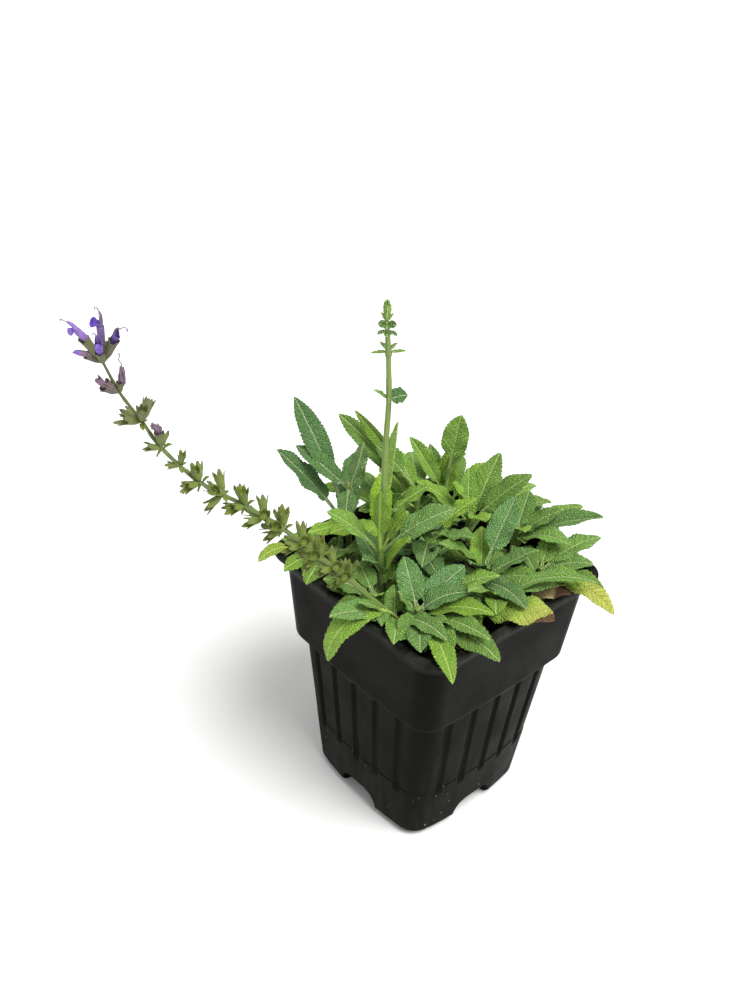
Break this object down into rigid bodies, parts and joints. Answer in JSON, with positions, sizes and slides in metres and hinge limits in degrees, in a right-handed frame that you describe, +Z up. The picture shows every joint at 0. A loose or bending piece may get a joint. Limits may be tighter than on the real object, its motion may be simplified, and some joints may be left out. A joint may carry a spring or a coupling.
{
  "type": "potted meadow sage",
  "caption": "Bushy young meadow sage in a square black nursery pot, with an upright budding stem and an arching stem of calyces that ends in violet flowers.",
  "frame": {"origin": "middle of the pot's flat underside, on the surface it stands on", "axes": "+Z up the pot; the pot's sides lie along X and Y, its near corner in the picture is toward +X and -Y, and the arching stem leans out over the -Y side"},
  "size_m": [0.1592, 0.2286, 0.2756],
  "materials": {
    "pot": "black recycled nursery plastic with a low satin sheen",
    "soil": "damp dark peat and bark compost, crumbly and matt",
    "leaf": "soft grey green leaves, puckered between pale veins, with fine hairs, and green square stems",
    "petal": "soft violet blue petals",
    "withered": "dry brown purple withered petals",
    "leaf_yellow": "yellowing old leaf with pale veins",
    "leaf_brown": "dry brown dead leaf"
  },
  "bodies": {
    "root": {"arching_stem": "leaf", "flower_1": "petal", "flower_2": "petal", "flower_3": "petal", "flower_4": "petal", "flower_5": "petal", "flower_6": "withered", "flower_7": "withered", "flower_8": "withered", "old_leaf_brown": "leaf_brown", "old_leaf_olive": "leaf_yellow", "old_leaf_pale": "leaf_yellow", "old_leaf_yellow": "leaf_yellow", "pot": "pot", "shoot_back": "leaf", "shoot_back_left": "leaf", "shoot_back_right": "leaf", "shoot_centre": "leaf", "shoot_far_edge": "leaf", "shoot_far_left": "leaf", "shoot_front": "leaf", "shoot_front_left": "leaf", "shoot_front_middle": "leaf", "shoot_left_front": "leaf", "shoot_left_inner": "leaf", "shoot_left_tall": "leaf", "shoot_middle": "leaf", "shoot_right": "leaf", "shoot_right_edge": "leaf", "shoot_right_front": "leaf", "soil": "soil", "upright_stem": "leaf"}
  },
  "joints": []
}
